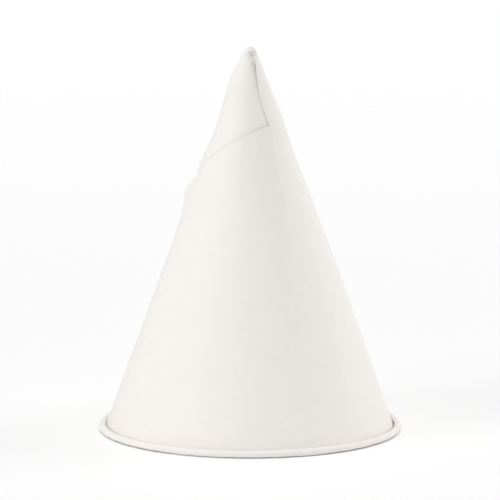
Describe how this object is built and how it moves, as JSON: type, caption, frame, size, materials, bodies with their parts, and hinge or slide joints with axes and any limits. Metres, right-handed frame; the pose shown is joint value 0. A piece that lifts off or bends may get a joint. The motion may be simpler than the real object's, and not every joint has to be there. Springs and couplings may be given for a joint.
{
  "type": "cone paper cup",
  "caption": "Conical paper drinking cup wound from a single sheet, with a glued spiral lap, a pinched tip and a rolled rim that it rests on tip up.",
  "frame": {"origin": "centre of the rolled rim, on the plane that the rim rests on", "axes": "+Z along the cone's axis from the mouth to the tip; -Y is the side that the picture shows, +X to its right"},
  "size_m": [0.0724, 0.0724, 0.0932],
  "materials": {
    "white_paper": "matte"
  },
  "bodies": {
    "root": {"paper_cup": "white_paper"}
  },
  "joints": []
}
